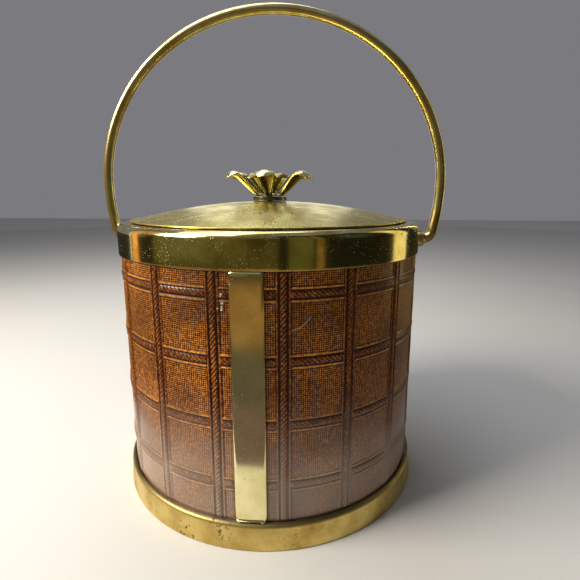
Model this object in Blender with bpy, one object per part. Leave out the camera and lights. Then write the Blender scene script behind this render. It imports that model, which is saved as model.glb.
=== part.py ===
"""Ice bucket with a domed lid, a flower knob and a swinging bail.

The drum stands on Z = 0 with its axis on Z. The front strap faces -Y and the
bail turns about X. Lengths below are in millimetres and are turned into metres
when a mesh is made.
"""
import math

import bmesh
import bpy
from mathutils import Matrix, Vector

MM = 0.001

# Driving dimensions (mm)
SEGMENTS = 48                 # flats around every large turned piece
GAP = 0.4                     # space left between neighbouring pieces

DRUM_RADIUS = 99.2            # outside of the vinyl wrap
VINYL_THICKNESS = 1.0
SHELL_THICKNESS = 1.2
SHELL_BOTTOM = 2.7
PLATE_THICKNESS = 0.9         # the steel plate that closes the drum
PAD_BOTTOM = 0.2
VINYL_BOTTOM = 12.0
VINYL_TOP = 162.0

BAND_BOTTOM_RADIUS = 103.4    # the base band flares out towards the table
BAND_TOP_RADIUS = 102.5
BAND_STRAIGHT_TOP = 13.3      # height where the rounded shoulder starts
BAND_SHOULDER = 2.8
BAND_THICKNESS = 0.9
BAND_FOOT_RADIUS = 94.0       # inner edge of the foot flange
FOOT_ROUNDING = 0.9

COLLAR_RADIUS = 100.3
COLLAR_THICKNESS = 0.7
COLLAR_BOTTOM = 157.5
LEDGE_HEIGHT = 176.7          # top face that the lid rests on
COLLAR_SHOULDER = 3.4
COLLAR_INNER_RADIUS = 88.3
COLLAR_LIP_BOTTOM = 173.2

LINER_INNER_RADIUS = 82.0
LINER_WALL = 2.0
LINER_FLOOR = 21.0            # height of the floor that the ice lies on
LINER_RIM_RADIUS = 96.0
LINER_RIM_BOTTOM = 170.9
LINER_RIM_THICKNESS = 1.6
LINER_CORNER = 5.0            # inner radius between the liner's wall and floor
FOAM_TOP = 154.2
GASKET_OUTER_RADIUS = 95.0

LID_RADIUS = 92.0
LID_CROWN = 189.3             # top of the dome
LID_SPRING = 177.8            # height of the dome where its flat edge begins
LID_FLAT_EDGE = 2.4
LID_THICKNESS = 0.9
PAN_RADIUS = 80.2
PAN_BOTTOM = 163.8
PAN_WALL = 1.0
PAN_FLANGE_RADIUS = 84.5
SEAL_HEIGHT = 169.0           # middle of the soft ring round the pan
STUD_WELL_RADIUS = 9.0        # room in the lid's foam for the knob's nut
STUD_WELL_DEPTH = 6.0

PIVOT_HEIGHT = 164.2
BAIL_ROD_RADIUS = 3.25
BAIL_HALF_WIDTH = 114.4       # to the rod's centre line
BAIL_SPRING_HEIGHT = 200.0    # where the legs end and the arch begins
BAIL_ARCH_HEIGHT = 108.5
BAIL_FOOT_X = 111.4           # leg centre line just above the bend
BAIL_BEND = 6.0               # centre line radius of the bend into the pivot
BAIL_END_X = 91.5
BOSS_RADIUS = 5.4
BOSS_LENGTH = 5.5
BOSS_ROUNDING = 2.0
WASHER_RADIUS = 6.0
PUSH_NUT_RADIUS = 5.4

STRAP_HALF_ANGLE = math.radians(4.95)
STRAP_THICKNESS = 1.1
STRAP_TOP = 156.8
STRAP_BOTTOM = 15.6

KNOB_BASE_RADIUS = 11.6
KNOB_BASE_TOP = 192.4
PETALS = 6
PETAL_ROOT_RADIUS = 9.4
PETAL_ROOT_HEIGHT = 193.6
PETAL_BEND_RADIUS = 19.5      # the straight slope ends here
PETAL_BEND_HEIGHT = 205.3
PETAL_CROWN_RADIUS = 25.5
PETAL_CROWN = 209.4
PETAL_TIP_RADIUS = 30.4
PETAL_TIP_DROP = 4.6          # from the crown down to the curled tip
PETAL_ROOT_HALF_WIDTH = 1.9
PETAL_HALF_WIDTH = 6.4
PETAL_SINK = 0.16             # how far the sides fall per step away from the middle
PETAL_THICKNESS = 0.7
STUD_RADIUS = 2.0
STUD_END = 6.0                # below the dome
CAP_RADIUS = 3.6
NUT_HEIGHT = 2.6
NUT_RADIUS = 4.0

BRASS = ("polished_brass", (0.62, 0.46, 0.16, 1.0), 0.22, 1.0)
VINYL = ("embossed_vinyl", (0.25, 0.09, 0.03, 1.0), 0.40, 0.0)
STEEL = ("zinc_steel", (0.55, 0.55, 0.54, 1.0), 0.35, 1.0)
FOAM = ("white_foam", (0.86, 0.86, 0.84, 1.0), 0.90, 0.0)
LINER_PLASTIC = ("ivory_plastic", (0.80, 0.76, 0.66, 1.0), 0.30, 0.0)
RUBBER = ("black_rubber", (0.03, 0.03, 0.03, 1.0), 0.70, 0.0)
FELT = ("base_felt", (0.10, 0.07, 0.05, 1.0), 0.95, 0.0)


def clear_scene():
    """Remove every object that is in the file already."""
    for old in list(bpy.data.objects):
        bpy.data.objects.remove(old, do_unlink=True)


def material(finish):
    """Return the Principled material of a finish, made once."""
    name, colour, roughness, metallic = finish
    found = bpy.data.materials.get(name)
    if found:
        return found
    made = bpy.data.materials.new(name)
    made.use_nodes = True
    shader = made.node_tree.nodes["Principled BSDF"]
    shader.inputs["Base Color"].default_value = colour
    shader.inputs["Roughness"].default_value = roughness
    shader.inputs["Metallic"].default_value = metallic
    return made


def finish_object(name, mesh_data, finish, smooth_angle=40.0):
    """Turn a bmesh into a named object with its finish and shading."""
    bmesh.ops.remove_doubles(mesh_data, verts=mesh_data.verts, dist=1e-6)
    bmesh.ops.recalc_face_normals(mesh_data, faces=mesh_data.faces)
    mesh = bpy.data.meshes.new(name)
    mesh_data.to_mesh(mesh)
    mesh_data.free()
    mesh.materials.append(material(finish))
    mesh.shade_smooth()
    mesh.set_sharp_from_angle(angle=math.radians(smooth_angle))
    made = bpy.data.objects.new(name, mesh)
    bpy.context.scene.collection.objects.link(made)
    return made


def arc(centre, radius, start, end, steps):
    """Points of an arc in the (r, z) plane, angles in degrees from +r."""
    points = []
    for i in range(steps + 1):
        angle = math.radians(start + (end - start) * i / steps)
        points.append((centre[0] + radius * math.cos(angle), centre[1] + radius * math.sin(angle)))
    return points


def spin_outline(outline, start, sweep, steps, axis):
    """Spin a closed (radius, along) outline about Z or X and return the bmesh."""
    mesh_data = bmesh.new()
    full_turn = abs(sweep - math.tau) < 1e-9
    verts = []
    for radius, along in outline:
        if axis == "Z":
            place = Vector((radius * MM, 0.0, along * MM))
        else:
            place = Vector((along * MM, 0.0, radius * MM))
        verts.append(mesh_data.verts.new(place))
    turn_axis = Vector((0.0, 0.0, 1.0)) if axis == "Z" else Vector((1.0, 0.0, 0.0))
    edges = []
    for i, vert in enumerate(verts):
        following = verts[(i + 1) % len(verts)]
        on_axis = outline[i][0] < 1e-9 and outline[(i + 1) % len(outline)][0] < 1e-9
        if not on_axis:
            edges.append(mesh_data.edges.new((vert, following)))
    geometry = list(verts) + edges
    if not full_turn:
        geometry.append(mesh_data.faces.new(verts))
    bmesh.ops.rotate(mesh_data, verts=verts, cent=(0, 0, 0), matrix=Matrix.Rotation(start, 3, turn_axis))
    bmesh.ops.spin(mesh_data, geom=geometry, angle=sweep, steps=steps, axis=turn_axis, cent=(0, 0, 0))
    return mesh_data


def turned(name, outline, finish, steps=SEGMENTS):
    """A ring or disc turned about the drum's axis."""
    return finish_object(name, spin_outline(outline, 0.0, math.tau, steps, "Z"), finish)


def turned_on_pivot(name, outline, finish, side, steps=20):
    """A ring turned about the bail's pivot axis, on the right (+1) or left (-1)."""
    mesh_data = spin_outline([(r, side * x) for r, x in outline], 0.0, math.tau, steps, "X")
    made = finish_object(name, mesh_data, finish)
    made.location = (0.0, 0.0, PIVOT_HEIGHT * MM)
    return made


def drill_pivots(made, radius):
    """Cut the two pivot holes of a drum piece with one long cutter."""
    cutter_mesh = bmesh.new()
    turn = Matrix.Rotation(math.radians(90.0), 3, "Y")
    bmesh.ops.create_cone(cutter_mesh, segments=16, radius1=radius * MM, radius2=radius * MM,
                          depth=2.4 * DRUM_RADIUS * MM, cap_ends=True)
    bmesh.ops.rotate(cutter_mesh, verts=cutter_mesh.verts, cent=(0, 0, 0), matrix=turn)
    cutter = finish_object(made.name + "_drill", cutter_mesh, STEEL)
    cutter.location = (0.0, 0.0, PIVOT_HEIGHT * MM)
    cutter.hide_render = True
    cutter.display_type = "WIRE"
    cut = made.modifiers.new("pivot_holes", "BOOLEAN")
    cut.operation = "DIFFERENCE"
    cut.solver = "EXACT"
    cut.object = cutter


def base_band_outer_radius(height):
    """The band narrows in a straight line from the foot to its shoulder."""
    share = height / BAND_STRAIGHT_TOP
    return BAND_BOTTOM_RADIUS + (BAND_TOP_RADIUS - BAND_BOTTOM_RADIUS) * share


def make_base():
    """The base band, the plate that closes the drum and the pad below it."""
    shoulder = (BAND_TOP_RADIUS - BAND_SHOULDER, BAND_STRAIGHT_TOP)
    foot = (BAND_BOTTOM_RADIUS - FOOT_ROUNDING, FOOT_ROUNDING)
    outside = arc(foot, FOOT_ROUNDING, -90.0, 0.0, 2)
    outside += arc(shoulder, BAND_SHOULDER, 0.0, 80.0, 3)
    inside = arc(shoulder, BAND_SHOULDER - BAND_THICKNESS, 62.0, 0.0, 2)
    inside.append((base_band_outer_radius(BAND_THICKNESS) - BAND_THICKNESS, BAND_THICKNESS))
    inside.append((BAND_FOOT_RADIUS, BAND_THICKNESS))
    turned("base_band", outside + inside + [(BAND_FOOT_RADIUS, 0.0)], BRASS)

    plate_bottom = BAND_THICKNESS + GAP
    plate_radius = BAND_TOP_RADIUS - BAND_THICKNESS - 1.0
    plate_top = plate_bottom + PLATE_THICKNESS
    turned("bottom_plate", [(0.0, plate_bottom), (plate_radius, plate_bottom),
                            (plate_radius, plate_top), (0.0, plate_top)], STEEL)

    pad_radius = BAND_FOOT_RADIUS - GAP
    turned("base_pad", [(0.0, PAD_BOTTOM), (pad_radius, PAD_BOTTOM),
                        (pad_radius, BAND_THICKNESS), (0.0, BAND_THICKNESS)], FELT)


def make_drum():
    """The steel drum, its vinyl wrap, the foam inside it and the liner."""
    shell_outer = DRUM_RADIUS - VINYL_THICKNESS - GAP
    shell_inner = shell_outer - SHELL_THICKNESS
    shell_top = LINER_RIM_BOTTOM - GAP
    shell = turned("outer_shell", [(shell_inner, SHELL_BOTTOM), (shell_outer, SHELL_BOTTOM),
                                   (shell_outer, shell_top), (shell_inner, shell_top)], STEEL)
    drill_pivots(shell, BAIL_ROD_RADIUS + GAP)

    # The wrap is one sheet: its two edges meet with a small gap under the front strap.
    seam_half_angle = 0.4 / DRUM_RADIUS
    vinyl_inner = DRUM_RADIUS - VINYL_THICKNESS
    wrap_outline = [(vinyl_inner, VINYL_BOTTOM), (DRUM_RADIUS, VINYL_BOTTOM),
                    (DRUM_RADIUS, VINYL_TOP), (vinyl_inner, VINYL_TOP)]
    front = math.radians(-90.0)
    wrap = finish_object("vinyl_wrap", spin_outline(wrap_outline, front + seam_half_angle,
                                                    math.tau - 2.0 * seam_half_angle, SEGMENTS, "Z"), VINYL)
    drill_pivots(wrap, BOSS_RADIUS + GAP)

    foam_outer = shell_inner - GAP
    liner_outer = LINER_INNER_RADIUS + LINER_WALL
    foam_inner = liner_outer + GAP
    floor_bottom = LINER_FLOOR - LINER_WALL
    turned("insulation_sleeve", [(foam_inner, floor_bottom), (foam_outer, floor_bottom),
                                 (foam_outer, FOAM_TOP), (foam_inner, FOAM_TOP)], FOAM)
    disc_top = floor_bottom - GAP
    turned("insulation_base", [(0.0, SHELL_BOTTOM), (foam_outer, SHELL_BOTTOM),
                               (foam_outer, disc_top), (0.0, disc_top)], FOAM)

    rim_top = LINER_RIM_BOTTOM + LINER_RIM_THICKNESS
    corner_centre = (LINER_INNER_RADIUS - LINER_CORNER, LINER_FLOOR + LINER_CORNER)
    liner = [(0.0, floor_bottom)]
    liner += arc(corner_centre, LINER_CORNER + LINER_WALL, -90.0, 0.0, 2)
    liner += [(liner_outer, LINER_RIM_BOTTOM), (LINER_RIM_RADIUS, LINER_RIM_BOTTOM),
              (LINER_RIM_RADIUS, rim_top), (LINER_INNER_RADIUS, rim_top)]
    liner += arc(corner_centre, LINER_CORNER, 0.0, -90.0, 2)
    liner.append((0.0, LINER_FLOOR))
    turned("inner_liner", liner, LINER_PLASTIC)

    gasket_bottom = rim_top + GAP
    gasket_top = LEDGE_HEIGHT - COLLAR_THICKNESS - GAP
    gasket_inner = COLLAR_INNER_RADIUS + 2.0
    turned("rim_gasket", [(gasket_inner, gasket_bottom), (GASKET_OUTER_RADIUS, gasket_bottom),
                          (GASKET_OUTER_RADIUS, gasket_top), (gasket_inner, gasket_top)], RUBBER)


def make_collar():
    """The brass collar: a skirt, a rounded shoulder, a ledge and an inner lip."""
    inner_skirt = COLLAR_RADIUS - COLLAR_THICKNESS
    shoulder = (COLLAR_RADIUS - COLLAR_SHOULDER, LEDGE_HEIGHT - COLLAR_SHOULDER)
    outline = [(inner_skirt, COLLAR_BOTTOM), (COLLAR_RADIUS, COLLAR_BOTTOM)]
    outline += arc(shoulder, COLLAR_SHOULDER, 0.0, 90.0, 3)
    outline += [(COLLAR_INNER_RADIUS, LEDGE_HEIGHT), (COLLAR_INNER_RADIUS, COLLAR_LIP_BOTTOM)]
    lip_outer = COLLAR_INNER_RADIUS + COLLAR_THICKNESS
    outline += [(lip_outer, COLLAR_LIP_BOTTOM), (lip_outer, LEDGE_HEIGHT - COLLAR_THICKNESS)]
    outline += arc(shoulder, COLLAR_SHOULDER - COLLAR_THICKNESS, 90.0, 0.0, 2)
    collar = turned("collar_band", outline, BRASS)
    drill_pivots(collar, BAIL_ROD_RADIUS + GAP)


def make_strap(name, facing):
    """A strap that follows the wrap and steps out over the base band's shoulder."""
    shoulder = (BAND_TOP_RADIUS - BAND_SHOULDER, BAND_STRAIGHT_TOP)
    near = BAND_SHOULDER + GAP
    back = DRUM_RADIUS + GAP
    step_angle = math.degrees(math.asin((STRAP_BOTTOM - shoulder[1]) / near))
    outline = arc(shoulder, near, step_angle, 84.0, 3)
    outline += [(back, shoulder[1] + near + 0.6), (back, STRAP_TOP)]
    front = back + STRAP_THICKNESS
    outline += [(front, STRAP_TOP), (front, shoulder[1] + near + STRAP_THICKNESS)]
    outline += arc(shoulder, near + STRAP_THICKNESS, 62.0, step_angle, 3)
    mesh_data = spin_outline(outline, facing - STRAP_HALF_ANGLE, 2.0 * STRAP_HALF_ANGLE, 4, "Z")
    finish_object(name, mesh_data, BRASS)


def bail_centre_line():
    """Centre line of the rod, from the left pivot end to the right one, in mm."""
    half = []
    steps = 14
    for i in range(steps + 1):
        angle = math.radians(90.0 * (1.0 - i / steps))
        half.append((BAIL_HALF_WIDTH * math.cos(angle), BAIL_SPRING_HEIGHT + BAIL_ARCH_HEIGHT * math.sin(angle)))
    bend_centre = (BAIL_FOOT_X - BAIL_BEND, PIVOT_HEIGHT + BAIL_BEND)
    drop = BAIL_SPRING_HEIGHT - bend_centre[1]
    for i in (1, 2):
        share = i / 3.0
        lean = (BAIL_HALF_WIDTH - BAIL_FOOT_X) * share * share
        half.append((BAIL_HALF_WIDTH - lean, BAIL_SPRING_HEIGHT - drop * share))
    for i in range(5):
        angle = math.radians(-90.0 * i / 4.0)
        half.append((bend_centre[0] + BAIL_BEND * math.cos(angle), bend_centre[1] + BAIL_BEND * math.sin(angle)))
    half.append((BAIL_END_X, PIVOT_HEIGHT))
    left = [(-x, z) for x, z in reversed(half)]
    return left + half[1:]


def make_bail():
    """The bail: one round rod, with its turning axis along X through its ends."""
    points = bail_centre_line()
    curve = bpy.data.curves.new("bail_handle", "CURVE")
    curve.dimensions = "3D"
    curve.bevel_depth = BAIL_ROD_RADIUS * MM
    curve.bevel_resolution = 4
    curve.use_fill_caps = True
    spline = curve.splines.new("POLY")
    spline.points.add(len(points) - 1)
    for point, (x, z) in zip(spline.points, points):
        point.co = (x * MM, 0.0, (z - PIVOT_HEIGHT) * MM, 1.0)
    curve.materials.append(material(BRASS))
    bail = bpy.data.objects.new("bail_handle", curve)
    bpy.context.scene.collection.objects.link(bail)
    bail.location = (0.0, 0.0, PIVOT_HEIGHT * MM)


def make_pivot(word, side):
    """The boss outside the collar, and the washer and push nut inside the drum."""
    bore = BAIL_ROD_RADIUS + GAP
    boss_start = COLLAR_RADIUS + GAP
    boss_end = boss_start + BOSS_LENGTH
    corner = (BOSS_RADIUS - BOSS_ROUNDING, boss_end - BOSS_ROUNDING)
    outline = [(bore, boss_start), (BOSS_RADIUS, boss_start)]
    for i in range(4):
        angle = math.radians(90.0 * i / 3.0)
        radius = max(corner[0] + BOSS_ROUNDING * math.cos(angle), bore + 0.15)
        outline.append((radius, corner[1] + BOSS_ROUNDING * math.sin(angle)))
    outline.append((bore, boss_end))
    turned_on_pivot(word + "_pivot_boss", outline, BRASS, side)

    shell_inner = DRUM_RADIUS - VINYL_THICKNESS - GAP - SHELL_THICKNESS
    washer_out = shell_inner - 0.8
    washer_in = washer_out - 1.0
    washer = [(bore, washer_in), (WASHER_RADIUS, washer_in), (WASHER_RADIUS, washer_out), (bore, washer_out)]
    turned_on_pivot(word + "_pivot_washer", washer, STEEL, side)

    nut_out = washer_in - GAP
    nut_in = BAIL_END_X + 0.6
    nut = [(bore, nut_in), (PUSH_NUT_RADIUS - 0.6, nut_in), (PUSH_NUT_RADIUS, nut_out), (bore, nut_out)]
    turned_on_pivot(word + "_push_nut", nut, STEEL, side)


def dome_height(radius):
    """Outer height of the lid's dome, a shallow arc from the crown to the flat edge."""
    share = radius / (LID_RADIUS - LID_FLAT_EDGE)
    return LID_CROWN - (LID_CROWN - LID_SPRING) * share * share


def make_lid():
    """The dome, the pan that plugs the mouth, its foam and its seal."""
    hole = STUD_RADIUS + GAP
    edge_start = LID_RADIUS - LID_FLAT_EDGE
    rings = 6
    radii = [hole + (edge_start - hole) * i / rings for i in range(rings + 1)]
    outer = [(r, dome_height(r)) for r in radii]
    edge_bottom = LEDGE_HEIGHT + GAP
    outer += [(LID_RADIUS - 0.4, edge_bottom + LID_THICKNESS), (LID_RADIUS, edge_bottom + 0.5 * LID_THICKNESS),
              (LID_RADIUS - 0.4, edge_bottom)]
    inner = [(r, dome_height(r) - LID_THICKNESS) for r in radii[:-1]]
    inner.append((edge_start - 0.8, edge_bottom))
    turned("lid_dome", outer + inner[::-1], BRASS)

    flange_top = dome_height(PAN_FLANGE_RADIUS) - LID_THICKNESS - GAP
    flange_bottom = flange_top - PAN_WALL
    pan_inner = PAN_RADIUS - PAN_WALL
    pan = [(0.0, PAN_BOTTOM), (PAN_RADIUS - 2.0, PAN_BOTTOM), (PAN_RADIUS, PAN_BOTTOM + 2.0),
           (PAN_RADIUS, flange_bottom), (PAN_FLANGE_RADIUS, flange_bottom),
           (PAN_FLANGE_RADIUS, flange_top), (pan_inner, flange_top),
           (pan_inner, PAN_BOTTOM + 2.3), (pan_inner - 1.6, PAN_BOTTOM + PAN_WALL), (0.0, PAN_BOTTOM + PAN_WALL)]
    turned("lid_inner_pan", pan, LINER_PLASTIC)

    foam_radius = pan_inner - GAP - 1.2
    foam_bottom = PAN_BOTTOM + PAN_WALL + GAP
    foam_top = flange_top - 0.4
    well = STUD_WELL_RADIUS
    well_floor = foam_top - STUD_WELL_DEPTH
    turned("lid_insulation", [(0.0, foam_bottom), (foam_radius, foam_bottom), (foam_radius, foam_top),
                              (well, foam_top), (well, well_floor), (0.0, well_floor)], FOAM)

    seal_inner = PAN_RADIUS + GAP
    seal_outer = LINER_INNER_RADIUS - GAP
    turned("lid_seal", [(seal_inner, SEAL_HEIGHT - 1.6), (seal_outer, SEAL_HEIGHT - 0.6),
                        (seal_outer, SEAL_HEIGHT + 0.6), (seal_inner, SEAL_HEIGHT + 1.6)], RUBBER)


def petal_height(radius):
    """Height along a petal: a straight slope, then an arc over the top to the curled tip."""
    if radius <= PETAL_BEND_RADIUS:
        share = (radius - PETAL_ROOT_RADIUS) / (PETAL_BEND_RADIUS - PETAL_ROOT_RADIUS)
        return PETAL_ROOT_HEIGHT + (PETAL_BEND_HEIGHT - PETAL_ROOT_HEIGHT) * share
    if radius <= PETAL_CROWN_RADIUS:
        share = (PETAL_CROWN_RADIUS - radius) / (PETAL_CROWN_RADIUS - PETAL_BEND_RADIUS)
        return PETAL_CROWN - (PETAL_CROWN - PETAL_BEND_HEIGHT) * share ** 1.6
    share = (radius - PETAL_CROWN_RADIUS) / (PETAL_TIP_RADIUS - PETAL_CROWN_RADIUS)
    return PETAL_CROWN - PETAL_TIP_DROP * share ** 2.2


def petal_half_width(radius):
    """Half width of a petal: narrow at its root, widest near the top, round at its tip."""
    widest_radius = 0.86 * PETAL_TIP_RADIUS
    if radius <= widest_radius:
        share = (radius - PETAL_ROOT_RADIUS) / (widest_radius - PETAL_ROOT_RADIUS)
        growth = math.sin(0.5 * math.pi * min(share * 1.04, 1.0))
        return PETAL_ROOT_HALF_WIDTH + (PETAL_HALF_WIDTH - PETAL_ROOT_HALF_WIDTH) * growth
    share = (radius - widest_radius) / (PETAL_TIP_RADIUS - widest_radius)
    return PETAL_HALF_WIDTH * math.sqrt(max(1.0 - share * share, 0.03))


def make_petals(name, scale, rise, lift, turn):
    """One stamped flower: a hub disc with petals, given thickness by Solidify. Scale sets its
    width and rise its height against the outer flower."""
    mesh_data = bmesh.new()
    lengthwise = [PETAL_ROOT_RADIUS + (PETAL_TIP_RADIUS - PETAL_ROOT_RADIUS) * s
                  for s in (0.0, 0.22, 0.44, 0.58, 0.70, 0.80, 0.90, 1.0)]
    across = (-1.0, -0.5, 0.0, 0.5, 1.0)
    hub_inner = STUD_RADIUS + GAP
    outer_loop = []
    for petal in range(PETALS):
        angle = turn + math.tau * petal / PETALS
        out = Vector((math.cos(angle), math.sin(angle), 0.0))
        side = Vector((-math.sin(angle), math.cos(angle), 0.0))
        rows = []
        for radius in lengthwise:
            row = []
            for v in across:
                width = petal_half_width(radius) * v
                sink = PETAL_SINK * abs(width)
                place = out * (radius * scale) + side * (width * scale)
                place.z = PETAL_ROOT_HEIGHT + lift + (petal_height(radius) - PETAL_ROOT_HEIGHT - sink) * rise
                row.append(mesh_data.verts.new(place * MM))
            rows.append(row)
        for near_row, far_row in zip(rows, rows[1:]):
            for i in range(len(across) - 1):
                mesh_data.faces.new((near_row[i], far_row[i], far_row[i + 1], near_row[i + 1]))
        outer_loop += rows[0]
    inner_loop = []
    for vert in outer_loop:
        flat = Vector((vert.co.x, vert.co.y, 0.0)).normalized() * (hub_inner * MM)
        flat.z = (PETAL_ROOT_HEIGHT + lift) * MM
        inner_loop.append(mesh_data.verts.new(flat))
    count = len(outer_loop)
    for i in range(count):
        following = (i + 1) % count
        mesh_data.faces.new((inner_loop[i], outer_loop[i], outer_loop[following], inner_loop[following]))
    made = finish_object(name, mesh_data, BRASS, 60.0)
    thickness = made.modifiers.new("sheet", "SOLIDIFY")
    thickness.thickness = PETAL_THICKNESS * MM
    thickness.offset = 0.0
    thickness.use_even_offset = False
    return made


def make_knob():
    """The knob: a turned base, two flowers and a cap on one stud, held by a nut."""
    base_bottom = LID_CROWN + GAP
    bore = STUD_RADIUS + GAP
    turned("knob_base", [(bore, base_bottom), (KNOB_BASE_RADIUS - 0.5, base_bottom),
                         (KNOB_BASE_RADIUS, base_bottom + 0.5), (KNOB_BASE_RADIUS, KNOB_BASE_TOP - 0.8),
                         (KNOB_BASE_RADIUS - 0.8, KNOB_BASE_TOP), (bore, KNOB_BASE_TOP)], BRASS, 32)
    front = math.radians(-90.0)
    make_petals("knob_petals_outer", 1.0, 1.0, -0.2, front)
    make_petals("knob_petals_inner", 0.72, 0.8, 1.4, front + math.pi / PETALS)

    under_crown = LID_CROWN - LID_THICKNESS
    stud_bottom = under_crown - STUD_END
    cap_bottom = PETAL_ROOT_HEIGHT + 2.3
    stud_top = cap_bottom + 0.2
    turned("knob_stud", [(0.0, stud_bottom), (STUD_RADIUS - 0.4, stud_bottom), (STUD_RADIUS, stud_bottom + 0.4),
                         (STUD_RADIUS, stud_top), (0.0, stud_top)], STEEL, 20)
    cap_floor = stud_top + GAP
    cap = [(0.0, cap_floor), (bore, cap_floor), (bore, cap_bottom), (CAP_RADIUS, cap_bottom)]
    cap += arc((0.0, cap_bottom + 1.6), CAP_RADIUS, 0.0, 90.0, 4)
    turned("knob_cap", cap, BRASS, 20)

    washer_top = under_crown - GAP
    washer_bottom = washer_top - 0.8
    turned("knob_washer", [(bore, washer_bottom), (WASHER_RADIUS, washer_bottom),
                           (WASHER_RADIUS, washer_top), (bore, washer_top)], STEEL, 24)
    nut_top = washer_bottom - GAP
    nut_bottom = nut_top - NUT_HEIGHT
    turned("knob_nut", [(bore, nut_bottom), (NUT_RADIUS, nut_bottom), (NUT_RADIUS, nut_top), (bore, nut_top)],
           STEEL, 6)


def main():
    clear_scene()
    make_base()
    make_drum()
    make_collar()
    make_strap("front_strap", math.radians(-90.0))
    make_strap("rear_strap", math.radians(90.0))
    make_bail()
    for word, side in (("left", -1), ("right", 1)):
        make_pivot(word, side)
    make_lid()
    make_knob()


main()
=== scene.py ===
"""Looks of an insulated ice bucket: polished brass bands, strap, bail and lid round a drum
wrapped in embossed vinyl. Every length below is in millimetres unless it says otherwise."""
import math

import bpy
import numpy as np
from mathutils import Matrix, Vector


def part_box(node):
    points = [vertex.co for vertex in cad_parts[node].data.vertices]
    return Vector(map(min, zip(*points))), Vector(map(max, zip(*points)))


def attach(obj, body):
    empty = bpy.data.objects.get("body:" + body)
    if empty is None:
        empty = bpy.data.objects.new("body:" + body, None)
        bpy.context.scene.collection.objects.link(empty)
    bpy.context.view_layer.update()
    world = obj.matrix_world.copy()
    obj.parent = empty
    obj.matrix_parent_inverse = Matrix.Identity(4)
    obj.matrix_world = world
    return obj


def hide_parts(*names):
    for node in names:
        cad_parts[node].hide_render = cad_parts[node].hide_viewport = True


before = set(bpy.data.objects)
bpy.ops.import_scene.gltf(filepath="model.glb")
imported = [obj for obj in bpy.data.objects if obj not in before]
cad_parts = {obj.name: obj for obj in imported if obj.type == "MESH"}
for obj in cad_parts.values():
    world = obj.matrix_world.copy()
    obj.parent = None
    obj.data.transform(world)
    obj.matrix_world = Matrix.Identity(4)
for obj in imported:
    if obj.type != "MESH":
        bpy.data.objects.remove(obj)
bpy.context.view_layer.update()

MM = 0.001
TURN = 2.0 * np.pi


def node_box(name):
    """Lowest and highest corner of a CAD node in millimetres."""
    low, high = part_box(name)
    return np.array(low) / MM, np.array(high) / MM


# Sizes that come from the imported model
COLLAR_LOW, COLLAR_HIGH = node_box("collar_band")
BASE_HIGH = node_box("base_band")[1]
WRAP_LOW, WRAP_HIGH = node_box("vinyl_wrap")
STRAP_LOW, STRAP_HIGH = node_box("front_strap")
BAIL_LOW, BAIL_HIGH = node_box("bail_handle")
DOME_LOW, DOME_HIGH = node_box("lid_dome")
BOSS_LOW, BOSS_HIGH = node_box("right_pivot_boss")
LINER_LOW, LINER_HIGH = node_box("inner_liner")
PAN_LOW, PAN_HIGH = node_box("lid_inner_pan")
SEAL_LOW, SEAL_HIGH = node_box("lid_seal")
KNOB_LOW, KNOB_HIGH = node_box("knob_base")
CAP_LOW, CAP_HIGH = node_box("knob_cap")

PIVOT_HEIGHT = 0.5 * (BOSS_LOW[2] + BOSS_HIGH[2])
COLLAR_RADIUS = COLLAR_HIGH[0]
DRUM_RADIUS = WRAP_HIGH[0]


# ---------------------------------------------------------------- meshes

def new_object(name, data):
    """An object for a mesh, light or camera, linked to the scene."""
    made = bpy.data.objects.new(name, data)
    bpy.context.scene.collection.objects.link(made)
    return made


def add_attribute(made, word, values):
    """One number at every point of a mesh, for its material to read."""
    layer = made.data.attributes.new(word, "FLOAT", "POINT")
    layer.data.foreach_set("value", values.astype(np.float32))


def add_object(name, points, faces, material, body, stands_for=(), sharp=35.0):
    """A smooth mesh object from points in millimetres and lists of vertex numbers.
    Edges sharper than the angle stay crisp."""
    mesh = bpy.data.meshes.new(name)
    mesh.from_pydata((np.asarray(points) * MM).tolist(), [], faces)
    mesh.validate()
    mesh.shade_smooth()
    mesh.set_sharp_from_angle(angle=math.radians(sharp))
    mesh.materials.append(material)
    made = new_object(name, mesh)
    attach(made, body)
    if stands_for:
        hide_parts(*stands_for)
    return made


def grid_faces(rows, columns, close_rows=False, close_columns=False):
    """Quads between neighbouring rows and columns of a grid. A closed direction joins its
    last line to its first."""
    i = np.arange(rows if close_rows else rows - 1)[:, None]
    j = np.arange(columns if close_columns else columns - 1)[None, :]
    i_next, j_next = (i + 1) % rows, (j + 1) % columns
    corners = [i * columns + j, i_next * columns + j, i_next * columns + j_next, i * columns + j_next]
    return np.stack(np.broadcast_arrays(*corners), axis=-1).reshape(-1, 4)


def smooth_noise(u, v, cells_u, seed, cells_v=512):
    """Soft random hills between -1 and 1: a lattice of random heights, blended with a smooth
    step between its points and repeating after cells_u cells in u and cells_v in v."""
    heights = np.random.default_rng(seed).uniform(-1.0, 1.0, (cells_u, cells_v))
    u_cell, v_cell = np.floor(u).astype(int), np.floor(v).astype(int)
    fu, fv = u - u_cell, v - v_cell
    fu, fv = fu * fu * (3.0 - 2.0 * fu), fv * fv * (3.0 - 2.0 * fv)
    u0, u1 = u_cell % cells_u, (u_cell + 1) % cells_u
    v0, v1 = v_cell % cells_v, (v_cell + 1) % cells_v
    low = heights[u0, v0] * (1.0 - fu) + heights[u1, v0] * fu
    high = heights[u0, v1] * (1.0 - fu) + heights[u1, v1] * fu
    return low * (1.0 - fv) + high * fv


def arc(centre_r, centre_z, radius, start, end, steps):
    """Points of a circular arc in the (radius, height) plane, angles in degrees."""
    angle = np.radians(np.linspace(start, end, steps))
    return np.stack([centre_r + radius * np.cos(angle), centre_z + radius * np.sin(angle)], axis=1)


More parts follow.
